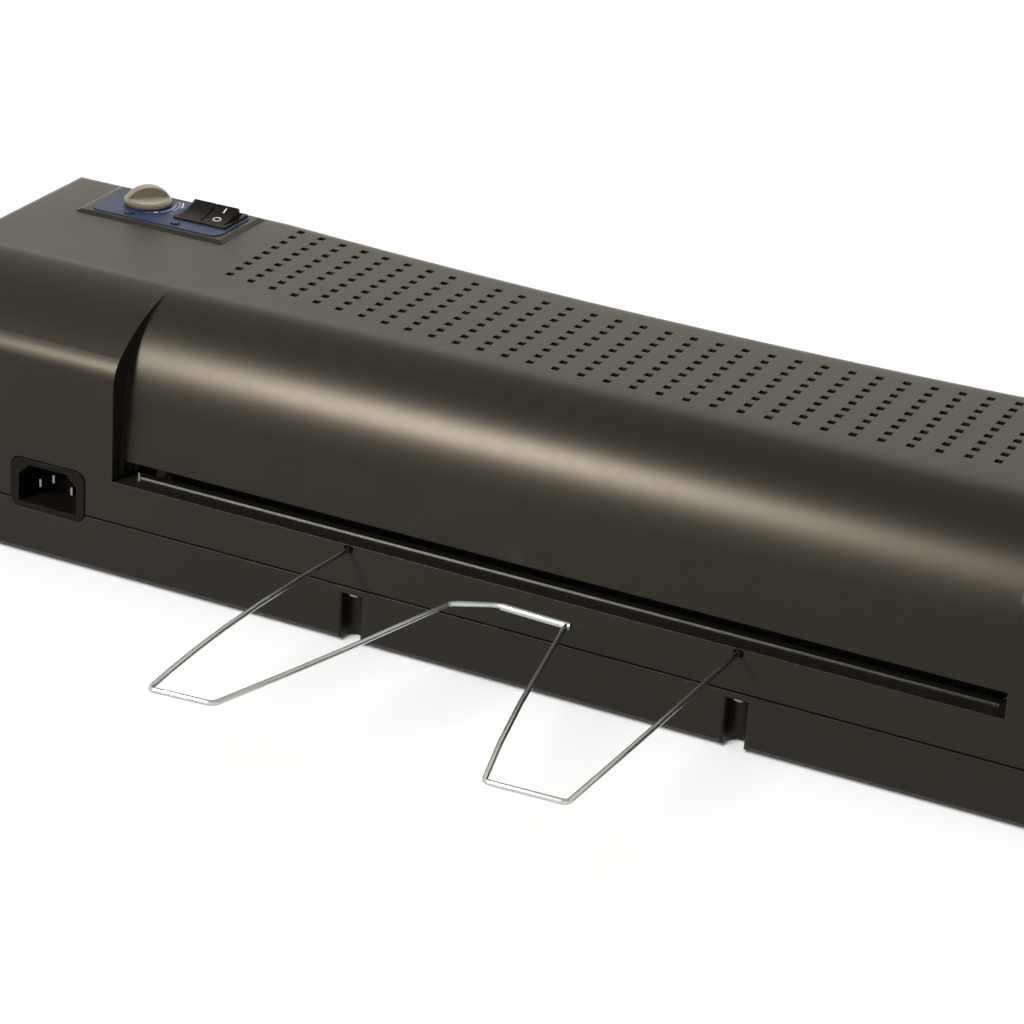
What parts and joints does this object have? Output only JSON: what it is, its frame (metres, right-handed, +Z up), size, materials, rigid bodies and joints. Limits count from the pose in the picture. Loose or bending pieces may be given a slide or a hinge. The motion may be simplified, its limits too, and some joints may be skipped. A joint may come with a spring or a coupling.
{
  "type": "pouch laminator",
  "caption": "Table-top pouch laminator with a recessed exit hump, vented top, control pod, mains inlet, wire exit rack and a geared roller train.",
  "frame": {"origin": "bottom centre of the whole machine, rubber feet and wire rack included", "axes": "+X along the length from the control end to the plain end, +Y from the exit side to the feed side, +Z up"},
  "size_m": [0.505, 0.381, 0.1145],
  "materials": {
    "housing": "satin, fine grained",
    "black_plastic": "satin",
    "label": "printed film",
    "knob": "satin",
    "lamp_green": "tinted, dark",
    "lamp_red": "tinted, dark",
    "plated_wire": "polished",
    "bright_steel": "bright",
    "sheet_steel": "zinc plated",
    "feet_rubber": "matt",
    "hot_rubber": "matt silicone",
    "pull_rubber": "matt silicone",
    "gear_plastic": "natural nylon",
    "aluminium_plate": "extruded",
    "ceramic": "moulded",
    "brass": "machined",
    "board": "solder mask",
    "components": "moulded",
    "wire_skin": "insulated wire"
  },
  "bodies": {
    "housing": {"base_shell": "housing", "upper_cover": "housing", "control_label": "label", "rotary_control": "black_plastic", "switch_bezel": "black_plastic", "switch_terminals": "brass", "ready_lamp": "lamp_green", "power_lamp": "lamp_red", "inlet_socket": "black_plastic", "inlet_pins": "bright_steel", "exit_guide": "bright_steel", "rubber_feet": "feet_rubber", "case_screws": "bright_steel", "side_frame_left": "sheet_steel", "side_frame_right": "sheet_steel", "tie_rods": "bright_steel", "roller_bushes": "gear_plastic", "nip_springs": "sheet_steel", "heater_shoe_lower": "aluminium_plate", "heater_shoe_upper": "aluminium_plate", "thermostat": "ceramic", "idler_stud": "bright_steel", "drive_motor": "sheet_steel", "motor_bracket": "sheet_steel", "bracket_spacers": "bright_steel", "feed_guide_lower": "sheet_steel", "feed_guide_upper": "sheet_steel", "mid_guide_lower": "sheet_steel", "mid_guide_upper": "sheet_steel", "circuit_board": "board", "board_relay": "components", "board_capacitor": "components", "board_spacers": "gear_plastic", "inner_wires": "wire_skin"},
    "knob": {"temperature_knob": "knob", "knob_shaft": "bright_steel"},
    "power_switch": {"power_rocker": "black_plastic"},
    "mode_switch": {"mode_rocker": "black_plastic"},
    "rack": {"rack_wire_left": "plated_wire", "rack_wire_right": "plated_wire", "rack_sleeve": "plated_wire"},
    "hot_lower": {"hot_roller_lower": "hot_rubber", "hot_shaft_lower": "bright_steel", "hot_gear_lower": "gear_plastic"},
    "hot_upper": {"hot_roller_upper": "hot_rubber", "hot_shaft_upper": "bright_steel", "hot_gear_upper": "gear_plastic"},
    "pull_lower": {"pull_roller_lower": "pull_rubber", "pull_shaft_lower": "bright_steel", "pull_gear_lower": "gear_plastic"},
    "pull_upper": {"pull_roller_upper": "pull_rubber", "pull_shaft_upper": "bright_steel", "pull_gear_upper": "gear_plastic"},
    "idler": {"idler_gear": "gear_plastic"},
    "motor_drive": {"motor_pinion": "brass", "motor_shaft": "bright_steel"}
  },
  "joints": [
    {"name": "knob_turn", "type": "hinge", "parent": "housing", "child": "knob", "pos_m": [-0.2077, 0.06471, 0.1073], "axis": [0, 0, 1], "range_deg": [-150, 120]},
    {"name": "power_press", "type": "hinge", "parent": "housing", "child": "power_switch", "pos_m": [-0.1738, 0.06551, 0.1044], "axis": [1, 0, 0], "range_deg": [-30, 0]},
    {"name": "mode_press", "type": "hinge", "parent": "housing", "child": "mode_switch", "pos_m": [-0.1842, 0.06551, 0.1044], "axis": [1, 0, 0], "range_deg": [-30, 0]},
    {"name": "rack_pull", "type": "slide", "parent": "housing", "child": "rack", "axis": [0, -0.9995, 0.0305], "range_m": [0, 0.01]},
    {"name": "hot_lower_spin", "type": "hinge", "parent": "housing", "child": "hot_lower", "pos_m": [0.0225, 0.03851, 0.0305], "axis": [1, 0, 0], "continuous": true},
    {"name": "hot_upper_spin", "type": "hinge", "parent": "housing", "child": "hot_upper", "pos_m": [0.0225, 0.03851, 0.0565], "axis": [1, 0, 0], "continuous": true},
    {"name": "pull_lower_spin", "type": "hinge", "parent": "housing", "child": "pull_lower", "pos_m": [0.0225, -0.01549, 0.0305], "axis": [1, 0, 0], "continuous": true},
    {"name": "pull_upper_spin", "type": "hinge", "parent": "housing", "child": "pull_upper", "pos_m": [0.0225, -0.01549, 0.0565], "axis": [1, 0, 0], "continuous": true},
    {"name": "idler_spin", "type": "hinge", "parent": "housing", "child": "idler", "pos_m": [0.0225, 0.01151, 0.0305], "axis": [1, 0, 0], "continuous": true},
    {"name": "motor_spin", "type": "hinge", "parent": "housing", "child": "motor_drive", "pos_m": [0.0225, 0.01151, 0.0505], "axis": [1, 0, 0], "continuous": true}
  ],
  "couplings": [
    {"joint": "hot_upper_spin", "follows": "hot_lower_spin", "ratio": -1},
    {"joint": "pull_lower_spin", "follows": "hot_lower_spin", "ratio": 1},
    {"joint": "pull_upper_spin", "follows": "hot_lower_spin", "ratio": -1},
    {"joint": "idler_spin", "follows": "hot_lower_spin", "ratio": -0.92857},
    {"joint": "motor_spin", "follows": "hot_lower_spin", "ratio": 2.1667}
  ]
}
